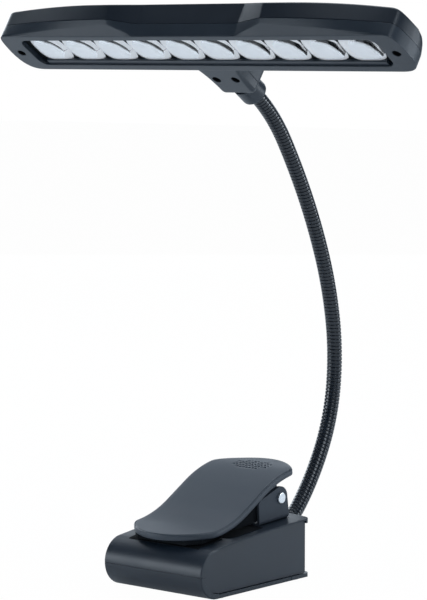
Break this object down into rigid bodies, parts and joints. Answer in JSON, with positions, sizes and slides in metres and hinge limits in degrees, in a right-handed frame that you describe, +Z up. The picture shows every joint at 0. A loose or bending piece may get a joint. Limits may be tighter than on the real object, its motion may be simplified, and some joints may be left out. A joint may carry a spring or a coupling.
{
  "type": "music stand light",
  "caption": "Clip-on battery lamp with a long faceted lamp head, a lens strip, a ribbed flexible neck and a sprung S-curved clip lever on a low wedge base.",
  "frame": {"origin": "on the surface that the feet stand on, under the middle of the whole lamp's box", "axes": "+Z up, +X along the lamp head, -Y towards the nose of the clip, where the lamp shines"},
  "size_m": [0.257, 0.1514, 0.2925],
  "materials": {
    "shell_black": "satin",
    "lever_black": "satin",
    "head_black": "satin",
    "rubber": "matte",
    "bracket_paint": "satin",
    "bright_steel": "polished",
    "spring_steel": "satin",
    "screw_steel": "satin",
    "neck_metal": "satin",
    "lead_sheath": "matte",
    "cell_wrap": "gloss",
    "contact_nickel": "satin",
    "board_green": "satin",
    "board_white": "satin",
    "lens_clear": "clear",
    "reflector_white": "gloss",
    "led_phosphor": "satin",
    "inner_black": "matte"
  },
  "bodies": {
    "base": {"base_shell": "shell_black", "rear_plate": "shell_black", "rear_feet": "rubber", "battery_holder": "inner_black", "batteries": "cell_wrap", "contact_plates": "contact_nickel", "contact_springs": "contact_nickel", "driver_board": "board_green", "board_screws": "screw_steel", "base_screws": "screw_steel", "neck_gland": "shell_black", "gland_nut": "screw_steel", "base_pad": "rubber", "clip_bracket": "bracket_paint", "bracket_rivets": "screw_steel", "pivot_pin": "bright_steel", "torsion_spring": "spring_steel", "neck_segment_1": "neck_metal", "lead_1": "lead_sheath"},
    "door": {"battery_door": "shell_black", "front_feet": "rubber"},
    "lever": {"lever": "lever_black", "jaw_pad": "rubber"},
    "neck_2": {"neck_segment_2": "neck_metal", "lead_2": "lead_sheath"},
    "neck_3": {"neck_segment_3": "neck_metal", "lead_3": "lead_sheath"},
    "neck_4": {"neck_segment_4": "neck_metal", "lead_4": "lead_sheath"},
    "neck_5": {"neck_segment_5": "neck_metal", "lead_5": "lead_sheath"},
    "neck_6": {"neck_segment_6": "neck_metal", "lead_6": "lead_sheath"},
    "neck_7": {"neck_segment_7": "neck_metal", "lead_7": "lead_sheath"},
    "head": {"neck_segment_8": "neck_metal", "lead_8": "lead_sheath", "neck_collar": "head_black", "head_housing": "head_black", "head_cover": "head_black", "head_bracket_cover": "head_black", "bracket_screws": "screw_steel", "head_screws": "screw_steel", "lens_strip": "lens_clear", "reflector": "reflector_white", "led_board": "board_white", "leds": "led_phosphor", "switch_body": "inner_black"},
    "button": {"switch_button": "lever_black", "switch_plunger": "board_white"}
  },
  "joints": [
    {"name": "lever_pivot", "type": "hinge", "parent": "base", "child": "lever", "pos_m": [0, -0.00414, 0.0427], "axis": [-1, 0, 0], "range_deg": [0, 28], "stiffness_Nm_per_rad": 0.35, "springref_deg": -45.84, "deforming": ["torsion_spring"]},
    {"name": "neck_bend_1", "type": "hinge", "parent": "base", "child": "neck_2", "pos_m": [0, 0.04149, 0.03016], "axis": [0, -0.7431, 0.6691], "range_deg": [-15, 15]},
    {"name": "neck_bend_2", "type": "hinge", "parent": "neck_2", "child": "neck_3", "pos_m": [0, 0.06132, 0.05901], "axis": [1, 0, 0], "range_deg": [-15, 15]},
    {"name": "neck_bend_3", "type": "hinge", "parent": "neck_3", "child": "neck_4", "pos_m": [0, 0.07123, 0.09247], "axis": [1, 0, 0], "range_deg": [-15, 15]},
    {"name": "neck_bend_4", "type": "hinge", "parent": "neck_4", "child": "neck_5", "pos_m": [0, 0.07001, 0.12744], "axis": [0, -0.9848, -0.1736], "range_deg": [-15, 15]},
    {"name": "neck_bend_5", "type": "hinge", "parent": "neck_5", "child": "neck_6", "pos_m": [0, 0.06064, 0.16121], "axis": [1, 0, 0], "range_deg": [-15, 15]},
    {"name": "neck_bend_6", "type": "hinge", "parent": "neck_6", "child": "neck_7", "pos_m": [0, 0.0461, 0.19313], "axis": [1, 0, 0], "range_deg": [-15, 15]},
    {"name": "neck_bend_7", "type": "hinge", "parent": "neck_7", "child": "head", "pos_m": [0, 0.02803, 0.2232], "axis": [0, -0.829, -0.5592], "range_deg": [-15, 15]},
    {"name": "button_press", "type": "slide", "parent": "head", "child": "button", "axis": [0, -0.5592, -0.829], "range_m": [0, 0.0012], "stiffness_N_per_m": 900, "springref_m": -0.0003},
    {"name": "door_slide", "type": "slide", "parent": "base", "child": "door", "axis": [0, -1, 0], "range_m": [0, 0.062]}
  ]
}
